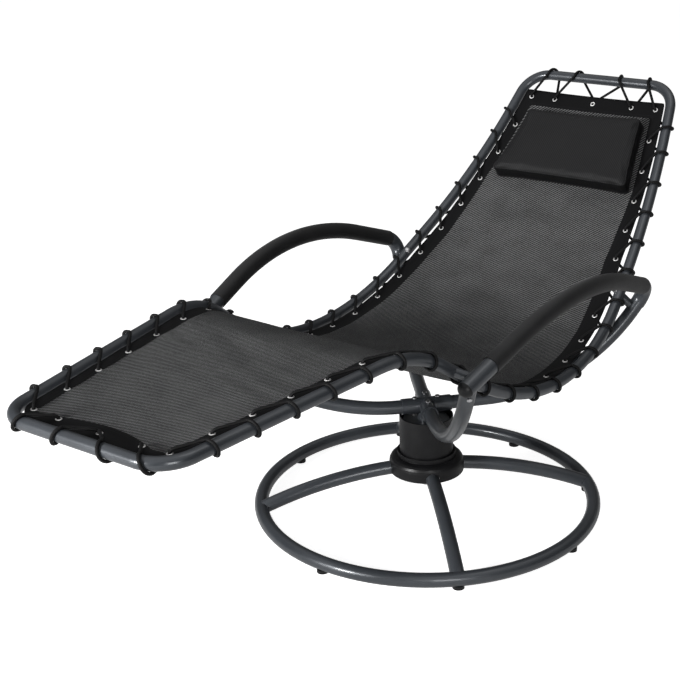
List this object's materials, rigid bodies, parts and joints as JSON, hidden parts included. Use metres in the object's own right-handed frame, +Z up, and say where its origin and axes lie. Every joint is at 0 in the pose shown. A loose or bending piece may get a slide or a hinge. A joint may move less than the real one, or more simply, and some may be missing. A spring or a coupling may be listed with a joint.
{
  "type": "rocking sun lounger",
  "caption": "Reclined garden lounger with a laced mesh sling and head pillow in a bent tube frame, on a sprung rocking and swivelling round base.",
  "frame": {"origin": "centre of the bounding box at floor level", "axes": "+Y from the foot towards the head, +X to the sitter's right, +Z up; the swivel axis stands at y = 0.1065 m"},
  "size_m": [0.8117, 1.908, 0.8923],
  "materials": {
    "powder_coat": "satin gunmetal powder coat",
    "plated_steel": "zinc plated",
    "black_plastic": "fine matte black",
    "arm_foam": "matte black foam",
    "sling_mesh": "woven grey black mesh with a plain black border",
    "nickel": "bright nickel",
    "elastic_cord": "black elastic cord",
    "pillow_cover": "fine black weave"
  },
  "bodies": {
    "base": {"base_ring": "powder_coat", "spoke_front_left": "powder_coat", "spoke_front_right": "powder_coat", "spoke_rear_left": "powder_coat", "spoke_rear_right": "powder_coat", "floor_pads": "black_plastic", "hub_socket": "powder_coat", "spindle_bushes": "black_plastic", "bearing_collar": "black_plastic", "lower_race": "plated_steel", "bearing_balls": "plated_steel"},
    "swivel": {"upper_race": "plated_steel", "swivel_spindle": "plated_steel", "spindle_nut": "plated_steel", "rocker_yoke": "powder_coat", "rocker_casing": "black_plastic", "casing_screws": "plated_steel", "rocker_pin": "plated_steel", "pin_clips": "plated_steel", "front_spring": "plated_steel", "rear_spring": "plated_steel"},
    "seat": {"rocker_head": "powder_coat", "cross_bracket": "powder_coat", "bracket_bolts": "plated_steel", "cradle_front_left": "powder_coat", "cradle_front_right": "powder_coat", "cradle_rear_left": "powder_coat", "cradle_rear_right": "powder_coat", "cradle_bolts": "plated_steel", "arm_tube_left": "powder_coat", "arm_tube_right": "powder_coat", "arm_sleeve_left": "arm_foam", "arm_sleeve_right": "arm_foam", "arm_plugs": "black_plastic", "rail_bolts": "plated_steel", "side_rail_left": "powder_coat", "side_rail_right": "powder_coat", "foot_hoop": "powder_coat", "head_hoop": "powder_coat", "sling": "sling_mesh", "eyelets": "nickel", "lacing_left": "elastic_cord", "lacing_right": "elastic_cord", "lacing_foot": "elastic_cord", "lacing_head": "elastic_cord", "pillow": "pillow_cover"}
  },
  "joints": [
    {"name": "swivel_turn", "type": "hinge", "parent": "base", "child": "swivel", "pos_m": [0, 0.1065, 0.1], "axis": [0, 0, 1], "continuous": true},
    {"name": "rock", "type": "hinge", "parent": "swivel", "child": "seat", "pos_m": [0, 0.1065, 0.19], "axis": [1, 0, 0], "range_deg": [-5, 5], "stiffness_Nm_per_rad": 400, "deforming": ["front_spring", "rear_spring"]}
  ]
}
